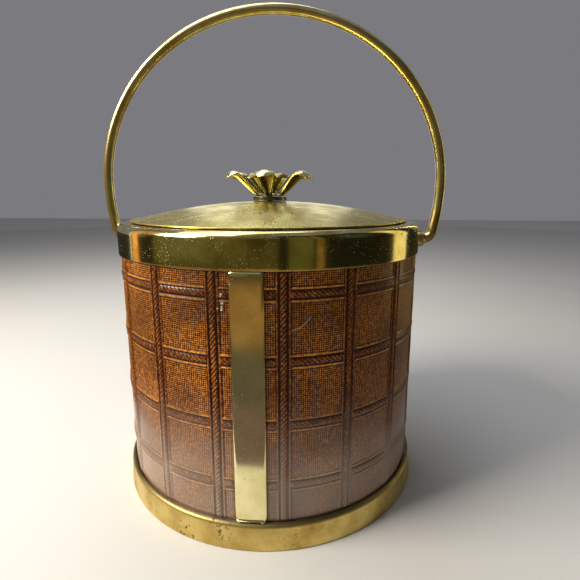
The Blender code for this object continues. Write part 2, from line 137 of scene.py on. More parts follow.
def line(*corners, spacing=2.0):
    """Points along straight runs between corners, about one per spacing."""
    runs = []
    for first, last in zip(corners, corners[1:]):
        first, last = np.array(first, float), np.array(last, float)
        count = max(2, int(np.hypot(*(last - first)) / spacing) + 1)
        runs.append(first + (last - first) * np.linspace(0.0, 1.0, count)[:, None])
    return np.concatenate(runs)


def outline(*runs):
    """A closed outline from runs of points, with repeated points left out."""
    points = np.concatenate(runs)
    step = np.hypot(*(points - np.roll(points, 1, axis=0)).T)
    return points[step > 1e-4]


def turned(name, profile, material, body, stands_for=(), segments=256, dent=0.0,
           seed=1, about_x=0.0, sharp=35.0):
    """A closed (radius, height) outline, drawn up its outer side, carried round the axis: each
    point turns through a full circle. Dents push the radius in and out in soft hills. With
    about_x the axis is the bail's pivot line, on the right (1) or left (-1)."""
    angle = np.linspace(0.0, TURN, segments, endpoint=False)[:, None]
    radius, along = profile[None, :, 0], profile[None, :, 1]
    broad = smooth_noise(angle / TURN * 12, along / 30.0 + radius / 30.0, 12, seed)
    small = smooth_noise(angle / TURN * 31, along / 12.0 + radius / 12.0, 31, seed + 50)
    hills = broad + 0.5 * small
    radius = radius + dent * hills
    if about_x:
        points = np.stack([about_x * along + 0.0 * angle, radius * np.cos(angle),
                           PIVOT_HEIGHT + radius * np.sin(angle)], axis=-1)
    else:
        flat = np.abs(np.gradient(profile[:, 1])) < np.abs(np.gradient(profile[:, 0]))
        points = np.stack([radius * np.cos(angle), radius * np.sin(angle),
                           along + dent * hills * flat[None, :]], axis=-1)
    faces = grid_faces(segments, len(profile), True, True)
    if about_x < 0.0:
        faces = faces[:, ::-1]
    return add_object(name, points.reshape(-1, 3), faces.tolist(), material, body, stands_for,
                      sharp)


def thick_sheet(middle, thickness, round_steps=5):
    """Points and faces of a closed skin round a curved sheet. The skin lies half the thickness
    to each side of the middle surface along its normal, and half circles close its long edges.
    The two short ends are closed with flat faces."""
    along, across = np.gradient(middle, axis=0), np.gradient(middle, axis=1)
    normal = np.cross(along, across)
    normal /= np.linalg.norm(normal, axis=-1, keepdims=True)
    across /= np.linalg.norm(across, axis=-1, keepdims=True)
    half = 0.5 * np.broadcast_to(np.asarray(thickness, float), middle.shape[:2])[..., None]
    turn = np.linspace(0.0, np.pi, round_steps + 2)[1:-1][None, :, None]

    def half_circle(edge, way):
        """Round a long edge, from the upper skin down (way 1) or from the lower one up (-1)."""
        swing = np.cos(turn) * normal[:, edge] + np.sin(turn) * across[:, edge]
        return middle[:, edge] + way * half[:, edge] * swing

    rings = np.concatenate([middle + half * normal, half_circle(slice(-1, None), 1.0),
                            (middle - half * normal)[:, ::-1], half_circle(slice(0, 1), -1.0)], axis=1)
    rows, columns = rings.shape[:2]
    faces = grid_faces(rows, columns, False, True).tolist()
    faces.append(list(range(columns))[::-1])
    faces.append(list(range((rows - 1) * columns, rows * columns)))
    return rings.reshape(-1, 3), faces


# ---------------------------------------------------------------- materials

def colour(code):
    """A linear colour with full alpha from an sRGB code such as 'b5a642'."""
    parts = np.array([int(code[i:i + 2], 16) for i in (0, 2, 4)]) / 255.0
    parts = np.where(parts <= 0.04045, parts / 12.92, ((parts + 0.055) / 1.055) ** 2.4)
    return (*parts.tolist(), 1.0)


def per(size):
    """Texture scale for a grain of this many millimetres."""
    return 1.0 / (size * MM)


def add_node(tree, kind, links=None, inputs=None, out=0, **settings):
    """One shader node with its settings, its constant inputs, and links given as
    {input: output socket}. Returns the output named by out, or for None the node itself."""
    made = tree.nodes.new("ShaderNode" + kind)
    for key, value in settings.items():
        setattr(made, key, value)
    for key, value in (inputs or {}).items():
        made.inputs[key].default_value = value
    for key, socket in (links or {}).items():
        tree.links.new(socket, made.inputs[key])
    return made if out is None else made.outputs[out]


def ramp(tree, source, *stops):
    """A colour ramp fed by source, with stops of (position, colour code)."""
    made = add_node(tree, "ValToRGB", {"Fac": source}, out=None)
    elements = made.color_ramp.elements
    for element, (position, code) in zip(elements, (stops[0], stops[-1])):
        element.position, element.color = position, colour(code)
    for position, code in stops[1:-1]:
        elements.new(position).color = colour(code)
    return made.outputs["Color"]


def new_material(name, **constants):
    """A material, its node tree and its Principled shader, with the shader's constants set."""
    made = bpy.data.materials.new(name)
    made.use_nodes = True
    shader = made.node_tree.nodes["Principled BSDF"]
    for key, value in constants.items():
        shader.inputs[key.replace("_", " ").title().replace("Ior", "IOR")].default_value = value
    return made, made.node_tree, shader


def brass(name, bright, dull, roughness, dust=0.0, pits=0.0, grain=0.0, speck=3.0, shaded_underside=False,
          grey_top_heights=None):
    """Polished yellow brass, lacquered once and now tarnished: a mirror with a soft haze, darker brown
    tarnish in patches, pale dust specks and small dark pits where the lacquer has gone. Dust and pits are
    shares, speck is the spacing of the dust and grain the depth of the surface's ripple. The heights given
    for the grey top are where the colour turns grey olive towards the top. The petal switch darkens the petal
    undersides between the ribs to brown, as painted shade."""
    made, tree, shader = new_material(name, metallic=1.0)
    place = add_node(tree, "TexCoord", out="Object")
    bloom_and_sheen = add_node(tree, "TexNoise", {"Vector": place},
                     {"Scale": per(20.0), "Detail": 5.0, "Roughness": 0.62})
    base = ramp(tree, bloom_and_sheen, (0.38, bright), (0.66, dull))
    # Dust lies round the middle of each speck cell, and more of it where it has settled
    specks = add_node(tree, "TexVoronoi", {"Vector": place}, {"Scale": per(speck), "Randomness": 1.0})
    settled = add_node(tree, "TexNoise", {"Vector": place}, {"Scale": per(12.0), "Detail": 3.0})
    near_speck = add_node(tree, "Math", {0: settled, 2: specks}, {1: -0.55}, operation="MULTIPLY_ADD")
    dust_edge = 0.16 * dust - 0.31
    dust_on = add_node(tree, "MapRange", {"Value": near_speck},
                       {"From Min": dust_edge, "From Max": dust_edge - 0.06, "To Max": 0.75 if dust else 0.0})
    # Pits are the peaks of a fine noise, in patches
    pores = add_node(tree, "TexNoise", {"Vector": place},
                     {"Scale": per(2.1), "Detail": 4.0, "Roughness": 0.6})
    patch = add_node(tree, "Math", {0: settled, 2: pores}, {1: 0.7}, operation="MULTIPLY_ADD")
    pit_edge = 1.20 - 0.20 * pits
    pits_on = add_node(tree, "MapRange", {"Value": patch},
                       {"From Min": pit_edge, "From Max": pit_edge + 0.05, "To Max": 0.85})
    dusty = add_node(tree, "Mix", {0: dust_on, 6: base}, {7: colour("e6dfc4")}, out=2, data_type="RGBA")
    aged = add_node(tree, "Mix", {0: pits_on, 6: dusty}, {7: colour("4a3a1a")}, out=2, data_type="RGBA")
    # Towards the top, between the given heights, the colour turns grey olive
    if grey_top_heights:
        split = add_node(tree, "SeparateXYZ", {"Vector": place}, out=None)
        level = add_node(tree, "MapRange", {"Value": split.outputs["Z"]},
                         {"From Min": grey_top_heights[0] * MM, "From Max": grey_top_heights[1] * MM, "To Max": 0.9})
        aged = add_node(tree, "Mix", {0: level, 6: aged}, {7: colour("5c563f")}, out=2, data_type="RGBA")
    # Painted shade: petal undersides between the ribs are darkened brown
    if shaded_underside:
        hollow = add_node(tree, "Attribute", out="Fac", attribute_name="hollow")
        aged = add_node(tree, "Mix", {0: hollow, 6: aged}, {7: colour("4a3916")}, out=2, data_type="RGBA")
    tree.links.new(aged, shader.inputs["Base Color"])
    haze = add_node(tree, "MapRange", {"Value": bloom_and_sheen},
                    {"From Min": 0.3, "From Max": 0.7, "To Min": roughness, "To Max": roughness * 1.8})
    worn = add_node(tree, "Math", {0: pits_on, 2: haze}, {1: 0.4}, operation="MULTIPLY_ADD")
    rough = add_node(tree, "Math", {0: dust_on, 2: worn}, {1: 0.5}, operation="MULTIPLY_ADD", use_clamp=True)
    tree.links.new(rough, shader.inputs["Roughness"])
    if grain:
        ripple = add_node(tree, "TexNoise", {"Vector": place},
                          {"Scale": per(1.4), "Detail": 3.0, "Roughness": 0.6})
        bump = add_node(tree, "Bump", {"Height": ripple}, {"Strength": 1.0, "Distance": grain * MM})
        tree.links.new(bump, shader.inputs["Normal"])
    return made


def embossed_vinyl():
    """Calendered vinyl, printed amber brown and lacquered, with a linen grain of crossed threads in the
    cells. Painted light is mixed into its colour: painted shade darkens the hollows of the emboss, painted
    highlight lightens the ropes and ridges, and a painted pale sheen near the foot stands in for the
    lacquer's reflection of the floor. The threads are drawn a little coarser than real ones, so that they
    show."""
    made, tree, shader = new_material("lacquered_embossed_vinyl", coat_weight=0.5, coat_roughness=0.18,
                                      specular_ior_level=0.28)
    sheet = add_node(tree, "UVMap", uv_map="wrap")
    place = add_node(tree, "TexCoord", out="Object")
    height = add_node(tree, "Attribute", out="Fac", attribute_name="emboss")
    cell = add_node(tree, "Attribute", out="Fac", attribute_name="cell")
    drift = add_node(tree, "TexNoise", {"Vector": place}, {"Scale": per(9.0), "Detail": 2.0})
    weave = add_node(tree, "TexNoise", {"Vector": place}, {"Scale": per(5.0), "Detail": 2.0})
    split = add_node(tree, "SeparateXYZ", {"Vector": sheet}, out=None)
    bend = add_node(tree, "Math", {0: drift}, {1: 2.2}, operation="MULTIPLY")
    threads = []
    for axis, spacing in (("X", 1.22), ("Y", 1.14)):
        count = add_node(tree, "Math", {0: split.outputs[axis], 2: bend}, {1: TURN * per(spacing)},
                         operation="MULTIPLY_ADD")
        threads.append(add_node(tree, "Math", {0: count}, operation="SINE"))
    which = add_node(tree, "MapRange", {"Value": weave},
                     {"From Min": 0.35, "From Max": 0.65, "To Min": 0.32, "To Max": 0.68})
    linen = add_node(tree, "Mix", {0: which, 2: threads[0], 3: threads[1]}, data_type="FLOAT")
    grain = add_node(tree, "TexNoise", {"Vector": place},
                     {"Scale": per(1.6), "Detail": 4.0, "Roughness": 0.65})
    in_cells = add_node(tree, "MapRange", {"Value": cell}, {"To Min": 0.25, "To Max": 1.0})
    masked = add_node(tree, "Math", {0: linen, 1: in_cells}, operation="MULTIPLY")
    relief = add_node(tree, "Math", {0: masked, 2: grain}, {1: 0.5}, operation="MULTIPLY_ADD")
    tone = add_node(tree, "Math", {0: masked, 2: height}, {1: 0.36}, operation="MULTIPLY_ADD")
    speckle = add_node(tree, "Math", {0: grain}, {1: 0.5}, operation="SUBTRACT")
    toned = add_node(tree, "Math", {0: speckle, 2: tone}, {1: 1.3}, operation="MULTIPLY_ADD")
    # The ramp's dark end is painted shade in the hollows, its light gold end painted highlight on ropes and
    # ridges
    print_and_painted_light = ramp(tree, toned, (0.04, "0e0402"), (0.26, "301103"), (0.50, "743604"),
                        (0.72, "b26a0f"), (0.98, "e3a64a"))
    cloud = add_node(tree, "TexNoise", {"Vector": place}, {"Scale": per(35.0), "Detail": 3.0})
    darker = add_node(tree, "MapRange", {"Value": cloud},
                      {"From Min": 0.35, "From Max": 0.7, "To Max": 0.62})
    shaded = add_node(tree, "Mix", {0: darker, 6: print_and_painted_light}, {7: colour("2f1207")}, out=2,
                      data_type="RGBA")
    # Painted sheen: towards the foot the colour is mixed with pale grey, standing in for the lacquer's
    # reflection of the pale floor
    bloom_and_sheen = add_node(tree, "Attribute", out="Fac", attribute_name="painted_floor_sheen")
    painted_floor_sheen = add_node(tree, "Mix", {0: bloom_and_sheen, 6: shaded}, {7: colour("b9a896")}, out=2, data_type="RGBA")
    chips = add_node(tree, "Attribute", out="Fac", attribute_name="chipped")
    chipped = add_node(tree, "Mix", {0: chips, 6: painted_floor_sheen}, {7: colour("e3dacb")}, out=2, data_type="RGBA")
    tree.links.new(chipped, shader.inputs["Base Color"])
    gloss = add_node(tree, "MapRange", {"Value": grain},
                     {"From Min": 0.3, "From Max": 0.7, "To Min": 0.28, "To Max": 0.42})
    tree.links.new(gloss, shader.inputs["Roughness"])
    bump = add_node(tree, "Bump", {"Height": relief}, {"Strength": 0.9, "Distance": 0.16 * MM})
    tree.links.new(bump, shader.inputs["Normal"])
    return made


def plain_finish(name, light, dark, grain, low, high, depth, **constants):
    """A quiet finish for hidden and inner parts: two close colours in clouds of the given grain,
    with roughness and a fine surface following them."""
    made, tree, shader = new_material(name, **constants)
    place = add_node(tree, "TexCoord", out="Object")
    cloud = add_node(tree, "TexNoise", {"Vector": place},
                     {"Scale": per(grain), "Detail": 4.0, "Roughness": 0.6})
    tree.links.new(ramp(tree, cloud, (0.35, light), (0.65, dark)), shader.inputs["Base Color"])
    gloss = add_node(tree, "MapRange", {"Value": cloud},
                     {"From Min": 0.3, "From Max": 0.7, "To Min": low, "To Max": high})
    tree.links.new(gloss, shader.inputs["Roughness"])
    bump = add_node(tree, "Bump", {"Height": cloud}, {"Strength": 0.5, "Distance": depth * MM})
    tree.links.new(bump, shader.inputs["Normal"])
    return made


# Each brass piece has aged in its own way; the petal undersides and the darker petal brass hold painted shade
BAND_BRASS = brass("polished_band_brass", "ece0a0", "b9a258", 0.09, dust=1.1, pits=0.35, grain=0.004,
                   speck=1.4)
# The base band's shoulder above about 15 mm is greyed olive
BASE_BRASS = brass("pitted_base_brass", "dcc478", "b5964f", 0.30, dust=0.2, pits=0.84, grain=0.012,
                   grey_top_heights=(14.4, 15.6))
STRAP_BRASS = brass("polished_strap_brass", "fbf2bc", "e2d190", 0.09, dust=0.8, pits=0.1, grain=0.002,
                    speck=2.6)
LID_BRASS = brass("hazed_lid_brass", "dccf74", "a39348", 0.21, dust=1.8, pits=0.5, grain=0.032, speck=1.2)
ROD_BRASS = brass("polished_rod_brass", "f0e6b4", "b49a5c", 0.16, pits=0.3)
# The outer petals' undersides carry painted shade
PETAL_BRASS = brass("stamped_petal_brass", "f8efb4", "d6c27c", 0.15, pits=0.4, shaded_underside=True)
# A darker copy of the petal brass: painted shade for the inner petals and the knob base under the outer
# petals
SHADED_PETAL_BRASS = brass("painted_shade_petal_brass", "938d5c", "54502f", 0.20, pits=0.5)
VINYL = embossed_vinyl()
# Moulded polypropylene: a faint orange-peel and a soft shine
LINER_PLASTIC = plain_finish("moulded_ivory_plastic", "d9cfb6", "cfc4a8", 14.0, 0.28, 0.36, 0.05)
# Zinc-plated steel: pale spangle, dull shine
ZINC = plain_finish("zinc_plated_steel", "b9babd", "9c9da0", 2.0, 0.30, 0.45, 0.03, metallic=1.0)
# Expanded polystyrene: white beads
FOAM = plain_finish("expanded_foam", "e8e8e4", "d5d5cf", 3.0, 0.85, 0.95, 0.4)
# Moulded rubber: black, bloomed grey in places
RUBBER = plain_finish("moulded_black_rubber", "1c1c1d", "2b2b2c", 4.0, 0.6, 0.75, 0.05)
# Pressed felt: dark brown, fibrous
FELT = plain_finish("pressed_brown_felt", "2b1f17", "3d2d22", 0.8, 0.92, 0.98, 0.3)


# ---------------------------------------------------------------- drum

ROPES = 17                               # vertical ropes round the drum
ROPE_PITCH = TURN * DRUM_RADIUS / ROPES  # along the sheet
ROPE_ROWS = (145.5, 110.0, 74.5, 38.7)   # heights of the horizontal ropes
ROPE_HALF = 1.95                         # half its width
ROPE_RISE = 0.85
STRAND_PITCH = 2.7
STRAND_LEAN = 1.3                        # run along the rope per step across it
RIDGE_OFFSET = 3.3                       # from the middle of the rope to a ridge
RIDGE_HALF = 0.62
RIDGE_RISE = 0.55
BAND_HALF = 4.3                          # half the width of a rope with its ridges
GROOVE = 0.16                            # how far the ground sinks beside a rope
CELL_TONE = 0.52                         # tone of the plain cells, 0 dark to 1 light
# Painted shade: a band's edge is darkened by this much
EDGE_SHADE = 0.16                        # how much darker a band's edge is
CHIPS = ((-13.1, 145.6, 0.34), (-13.3, 144.4, 0.22), (-12.8, 141.0, 0.46), (-13.0, 139.0, 0.34),
         (-13.1, 137.6, 0.40), (-15.1, 138.2, 0.26))  # distance from the front, height, size
SCRATCH = (22.5, 32.5, 127.0)            # its ends round the sheet, and its lower height
SHEEN_TOP, SHEEN_FOOT = 94.0, 28.0       # heights between which the painted floor sheen grows
PIVOT_HOLE = 3.65                        # radius of the hole in the collar
STRAP_THICK = 1.1


def bead(distance, half):
    """1 on a line and 0 at half its width, round like a bead."""
    return np.sqrt(np.clip(1.0 - (distance / half) ** 2, 0.0, 1.0))


def band_relief(across, along, lean, ridge_highlight):
    """Height of a rope with a ridge on each side, and its tone from 0 (painted shade in the hollows) to 1
    (painted highlight on the strand tops and the ridges). The rope is a bead cut into strands by slanting
    grooves: a rectified wave that runs along the rope and leans with the distance across it."""
    wave = np.abs(np.cos(np.pi * (along + lean * across) / STRAND_PITCH)) ** 0.7
    rope = bead(across, ROPE_HALF)
    ridges = bead(np.abs(across) - RIDGE_OFFSET, RIDGE_HALF)
    floor = -GROOVE * np.clip((BAND_HALF - np.abs(across)) / 0.6, 0.0, 1.0)
    strands = ROPE_RISE * (0.25 + 0.75 * wave)
    height = floor + np.maximum(rope * (strands + GROOVE), ridges * (RIDGE_RISE + GROOVE))
    tone = 0.10 + np.maximum(rope * (0.70 * wave - 0.10), ridge_highlight * ridges)
    return height, tone


def emboss(sheet, height):
    """Height of the emboss and its tone at (distance round the sheet from the front, height), and how far a
    point is inside a band. The tone is painted shade in the hollows and painted highlight on ropes and
    ridges. Vertical bands run through; horizontal bands stop at their ridges, and the press has flattened the
    crossings a little."""
    to_rope = sheet % ROPE_PITCH - 0.5 * ROPE_PITCH
    upright, upright_tone = band_relief(to_rope, height, -STRAND_LEAN, 0.55)
    in_upright = np.clip((BAND_HALF - np.abs(to_rope)) / 0.5, 0.0, 1.0)
    relief, tone, in_band = upright * in_upright, upright_tone, in_upright
    for row in ROPE_ROWS:
        to_row = height - row
        flat, flat_tone = band_relief(to_row, sheet, STRAND_LEAN, 0.85)
        free = np.clip((np.abs(to_rope) - RIDGE_OFFSET) / 1.0, 0.0, 1.0)
        in_row = np.clip((BAND_HALF - np.abs(to_row)) / 0.5, 0.0, 1.0)
        share = free * in_row
        relief = relief * (1.0 - share) + flat * share
        tone = tone * (1.0 - share) + flat_tone * share
        in_band = np.maximum(in_band, in_row)
        near = np.exp(-(to_row / 3.0) ** 2) * in_upright
        relief = relief * (1.0 - 0.45 * near)
    return relief, tone, in_band


def vinyl_marks(sheet, height, tone, in_band):
    """What print, lacquer and painted light do at each point, as {attribute: values}. The emboss tone is the
    cells' or the bands', with painted shade along a band's edge. Chips are round spots and the scratch is a
    line that curves up, each fading at its edge. A pale painted sheen, standing in for the floor's
    reflection, grows towards the foot in a smooth step, with soft clouds."""
    half_round = np.pi * DRUM_RADIUS
    sheet = (sheet + half_round) % (2.0 * half_round) - half_round
    edge = 4.0 * in_band * (1.0 - in_band)
    # Tone with painted shade in hollows and along band edges, painted highlight on ropes and ridges
    shade_and_highlight_tone = CELL_TONE * (1.0 - in_band) + tone * in_band - EDGE_SHADE * edge
    chipped = np.zeros_like(height)
    for across, up, size in CHIPS:
        distance = np.hypot(sheet - across, (height - up) * 0.8)
        chipped = np.maximum(chipped, np.clip(1.6 - distance / size, 0.0, 1.0))
    start, end, level = SCRATCH
    off_line = np.abs(height - level - 0.06 * (sheet - start + 0.5) ** 2)
    scratch = np.clip(1.3 - off_line / 0.35, 0.0, 1.0) * ((sheet > start) & (sheet < end))
    # Painted floor sheen: strongest at the foot, gone above the top height
    fade = np.clip((SHEEN_TOP - height) / (SHEEN_TOP - SHEEN_FOOT), 0.0, 1.0)
    clouds = 0.40 + 0.10 * smooth_noise(sheet / 18.0, height / 12.0, 64, 21)
    return {"emboss": shade_and_highlight_tone, "cell": 1.0 - in_band, "chipped": np.maximum(chipped, 0.35 * scratch),
            "painted_floor_sheen": fade * fade * (3.0 - 2.0 * fade) * clouds}


def vinyl_panel(name, start, end):
    """A quarter of the wrap as a closed sheet: radius = ground + emboss over a fine grid of angle
    and height, both fading to the drum under the straps, the collar and the base band. Its back is
    made of strips as tall as the sheet. The seams between quarters lie under the straps and, at
    the sides, in plain cells."""
    step, tucked, thick = 0.5, 0.9, 0.9
    strap_edge, base_edge, fade_run = 8.9, 16.2, 1.2
    around = int(abs(end - start) * DRUM_RADIUS / step) + 1
    heights = np.linspace(WRAP_LOW[2], COLLAR_LOW[2] + tucked, 266)
    angle = np.linspace(start, end, around)[:, None]
    sheet = angle * DRUM_RADIUS
    height = heights[None, :] + 0.0 * angle
    relief, tone, in_band = emboss(sheet, height)
    relief = relief * (0.82 + 0.18 * smooth_noise(sheet / 14.0, height / 14.0, 64, 5))
    quarter_round = 0.5 * np.pi * DRUM_RADIUS
    from_strap = np.abs((sheet + quarter_round) % (2.0 * quarter_round) - quarter_round)
    free = np.clip((from_strap - strap_edge) / fade_run, 0.0, 1.0)
    free = free * np.clip(COLLAR_LOW[2] - height, 0.0, 1.0)
    free = free * np.clip((height - base_edge) / fade_run, 0.0, 1.0)
    ground = DRUM_RADIUS - 0.35 + 0.45 * np.clip((150.0 - height) / 130.0, 0.0, 1.0) * free
    soft = 0.10 * smooth_noise(sheet / 26.0, height / 30.0, 24, 8) * free
    radius = ground + soft + relief * free
    front = np.stack([radius * np.sin(angle), -radius * np.cos(angle), height], axis=-1)
    inner = DRUM_RADIUS - thick
    rim = np.stack([inner * np.sin(angle[:, 0]), -inner * np.cos(angle[:, 0])], axis=-1)
    rows, columns = height.shape
    low, high = rows * columns, rows * columns + rows
    ends = np.ones((rows, 1))
    points = np.concatenate([front.reshape(-1, 3), np.hstack([rim, heights[0] * ends]),
                             np.hstack([rim, heights[-1] * ends])])
    here = np.arange(rows - 1)
    foot, head = here * columns, here * columns + columns - 1
    below = np.stack([foot, low + here, low + here + 1, foot + columns], axis=1)
    above = np.stack([head + columns, high + here + 1, high + here, head], axis=1)
    behind = np.stack([low + here, high + here, high + here + 1, low + here + 1], axis=1)
    faces = np.concatenate([grid_faces(rows, columns), below, above, behind]).tolist()
    faces.append([low, *range(columns), high])
    faces.append([high + rows - 1, *range(rows * columns - 1, (rows - 1) * columns - 1, -1), low + rows - 1])
    made = add_object(name, points, faces, VINYL, "bucket", ["vinyl_wrap"], 180.0)
    back = np.zeros(2 * rows)
    flat_sheet = np.stack([np.concatenate([(sheet + 0.0 * height).ravel(), back]),
                           np.concatenate([height.ravel(), back])], axis=-1) * MM
    corners = np.empty(len(made.data.loops), np.int32)
    made.data.loops.foreach_get("vertex_index", corners)
    layer = made.data.uv_layers.new(name="wrap")
    layer.uv.foreach_set("vector", flat_sheet[corners].astype(np.float32).ravel())
    for word, values in vinyl_marks(sheet, height, tone, in_band).items():
        add_attribute(made, word, np.concatenate([values.ravel(), back]))


def base_profile():
    """Outline of the base band: foot flange, flared side, round shoulder with a turned-in lip."""
    top_radius, bottom_radius, straight = 102.5, BASE_HIGH[0], 13.3
    foot, shoulder, thick, flange = 0.9, 2.8, 0.8, 94.0
    return outline(arc(bottom_radius - foot, foot, foot, -90.0, 0.0, 7),
                   line((bottom_radius, foot), (top_radius, straight), spacing=1.2),
                   arc(top_radius - shoulder, straight, shoulder, 0.0, 82.0, 14),
                   arc(top_radius - shoulder, straight, shoulder - thick, 70.0, 0.0, 7),
                   line((top_radius - thick, straight), (bottom_radius - foot, foot), (flange, foot),
                        (flange, 0.0), (bottom_radius - foot, 0.0)))


def collar_profile():
    """Outline of the collar: skirt with a small rolled foot, round shoulder, ledge and inner lip."""
    low, ledge, thick, round_off = COLLAR_LOW[2], COLLAR_HIGH[2], 0.7, 4.6
    inner, lip_foot, corner, roll = 88.3, 173.2, 0.6, 0.35
    return outline(arc(COLLAR_RADIUS - roll, low + roll, roll, -180.0, 0.0, 9),
                   line((COLLAR_RADIUS, low + roll), (COLLAR_RADIUS, ledge - round_off), spacing=1.2),
                   arc(COLLAR_RADIUS - round_off, ledge - round_off, round_off, 0.0, 90.0, 18),
                   line((COLLAR_RADIUS - round_off, ledge), (inner + corner, ledge), spacing=1.5),
                   arc(inner + corner, ledge - corner, corner, 90.0, 180.0, 7),
                   line((inner, ledge - corner), (inner, lip_foot), (inner + thick, lip_foot),
                        (inner + thick, ledge - thick), (COLLAR_RADIUS - round_off, ledge - thick)),
                   arc(COLLAR_RADIUS - round_off, ledge - round_off, round_off - thick, 90.0, 0.0, 10),
                   line((COLLAR_RADIUS - thick, ledge - round_off), (COLLAR_RADIUS - thick, low + roll)))


def drill_pivots(made, radius):
    """Cuts the pivot holes through the collar with one rod-shaped cutter."""
    sides, reach = 40, [115.0, 0.0, 0.0]
    steps = np.linspace(0.0, TURN, sides, endpoint=False)
    ring = np.stack([0.0 * steps, radius * np.cos(steps), PIVOT_HEIGHT + radius * np.sin(steps)], axis=1)
    ends = np.concatenate([ring - reach, ring + reach])
    faces = grid_faces(2, sides, False, True)[:, ::-1].tolist()
    faces += [list(range(sides)), list(range(sides, 2 * sides))[::-1]]
    mesh = bpy.data.meshes.new("pivot_drill")
    mesh.from_pydata((ends * MM).tolist(), [], faces)
    drill = new_object("pivot_drill", mesh)
    cut = made.modifiers.new("holes", "BOOLEAN")
    cut.operation, cut.solver, cut.object = "DIFFERENCE", "EXACT", drill
    seen = made.evaluated_get(bpy.context.evaluated_depsgraph_get())
    made.data = bpy.data.meshes.new_from_object(seen)
    made.modifiers.clear()
    bpy.data.objects.remove(drill)


def strap(name, node, facing):
    """A brass strap: a path up the drum, out over the base band's shoulder, carried across a small
    angle. Its lower corners are round, and its long edges and its top edge are rolled: the radius
    drops with the square of the distance into the roll."""
    width = 0.5 * (STRAP_HIGH[0] - STRAP_LOW[0])
    flat, top = DRUM_RADIUS + 0.35 + 0.5 * STRAP_THICK, STRAP_HIGH[2]
    shoulder_r, shoulder_z, near = 99.7, 13.3, 3.2 + 0.5 * STRAP_THICK
    roll, corner, foot_angle = 1.2, 1.6, 68.0
    path = outline(arc(shoulder_r, shoulder_z, near, foot_angle, 88.0, 12),
                   line((flat, shoulder_z + near + 1.3), (flat, top - roll), spacing=1.0),
                   line((flat, top - roll), (flat, top), spacing=0.2))
    path[:, 0] -= 0.5 * np.clip((path[:, 1] - top + roll) / roll, 0.0, 1.0) ** 2
    length = np.concatenate([[0.0], np.cumsum(np.hypot(*np.diff(path, axis=0).T))])
    to_corner = np.clip(corner - length, 0.0, corner)
    inset = corner - np.sqrt(np.clip(corner ** 2 - to_corner ** 2, 0.0, None))
    across = np.sin(np.linspace(-0.5, 0.5, 31) * np.pi)[None, :]
    half = (width - 0.5 * STRAP_THICK - inset)[:, None]
    angle = across * half / path[:, :1]
    rolled = np.clip((np.abs(across) * half - half + roll) / roll, 0.0, 1.0)
    radius = path[:, :1] - 0.45 * rolled ** 2
    turn = facing + angle
    middle = np.stack([radius * np.sin(turn), -radius * np.cos(turn), path[:, 1:] + 0.0 * angle], axis=-1)
    points, faces = thick_sheet(middle[:, ::-1], STRAP_THICK)
    return add_object(name, points, faces, STRAP_BRASS, "bucket", [node], 50.0)


def make_drum():
    """The four vinyl quarters, the base band, the collar, the two straps and the liner."""
    quarter = 0.5 * np.pi
    seam = 0.3 / DRUM_RADIUS
    for word, first in (("front_right", 0), ("rear_right", 1), ("rear_left", 2), ("front_left", 3)):
        start, end = first * quarter, (first + 1) * quarter
        vinyl_panel("vinyl_" + word, start + (seam if first % 2 == 0 else 0.0),
                    end - (seam if first % 2 else 0.0))
    turned("brass_base_band", base_profile(), BASE_BRASS, "bucket", ["base_band"],
           320, 0.05, 3)
    collar = turned("brass_collar", collar_profile(), BAND_BRASS, "bucket", ["collar_band"],
                    320, 0.03, 7)
    drill_pivots(collar, PIVOT_HOLE)
    strap("brass_front_strap", "front_strap", 0.0)
    strap("brass_rear_strap", "rear_strap", np.pi)
    floor, wall, corner = LINER_LOW[2], 2.0, 5.0
    inside, outside, rim, flange, lip = 82.0, 84.0, LINER_HIGH[2], 1.6, 0.8
    liner = outline(arc(inside - corner, floor + wall + corner, corner + wall, -90.0, 0.0, 10),
                    line((outside, floor + wall + corner), (outside, rim - flange),
                         (LINER_HIGH[0], rim - flange), (LINER_HIGH[0], rim), (inside + lip, rim),
                         spacing=6.0),
                    arc(inside + lip, rim - lip, lip, 90.0, 180.0, 6),
                    line((inside, rim - lip), (inside, floor + wall + corner), spacing=6.0),
                    arc(inside - corner, floor + wall + corner, corner, 0.0, -90.0, 10),
                    line((inside - corner, floor + wall), (0.3, floor + wall), (0.3, floor),
                         (inside - corner, floor), spacing=8.0))
    turned("moulded_liner", liner, LINER_PLASTIC, "bucket", ["inner_liner"], 192)


# ---------------------------------------------------------------- bail and pivots

def bail_path():
    """Centre line of the rod from the left pivot end to the right one: half an ellipse, legs that
    lean in with the square of the way down, a tight bend and a straight end, smoothed by
    averaging over neighbours. Also the rod's radius."""
    rod = 0.5 * (BAIL_HIGH[1] - BAIL_LOW[1])
    half_width, spring = BAIL_HIGH[0] - rod, 200.0
    rise = BAIL_HIGH[2] - rod - spring
    foot, bend, step = 111.4, 6.0, 0.5
    pivot_end = 0.5 * (BAIL_HIGH[0] + BOSS_HIGH[0]) - 18.8
    turn = np.linspace(0.5 * np.pi, 0.0, 500)
    top = np.stack([half_width * np.cos(turn), spring + rise * np.sin(turn)], axis=1)
    share = np.linspace(0.0, 1.0, 120)[1:]
    drop = spring - (PIVOT_HEIGHT + bend)
    leg = np.stack([half_width - (half_width - foot) * share ** 2, spring - drop * share], axis=1)
    curl = arc(foot - bend, PIVOT_HEIGHT + bend, bend, 0.0, -90.0, 40)[1:]
    end = line((foot - bend, PIVOT_HEIGHT), (pivot_end, PIVOT_HEIGHT), spacing=step)[1:]
    right = np.concatenate([top, leg, curl, end])
    whole = np.concatenate([right[::-1] * [-1.0, 1.0], right[1:]])
    length = np.concatenate([[0.0], np.cumsum(np.hypot(*np.diff(whole, axis=0).T))])
    even = np.linspace(0.0, length[-1], int(length[-1] / step))
    path = np.stack([np.interp(even, length, whole[:, k]) for k in (0, 1)], axis=1)
    for _ in range(14):
        path[1:-1] = 0.25 * path[:-2] + 0.5 * path[1:-1] + 0.25 * path[2:]
    return path[::2], rod


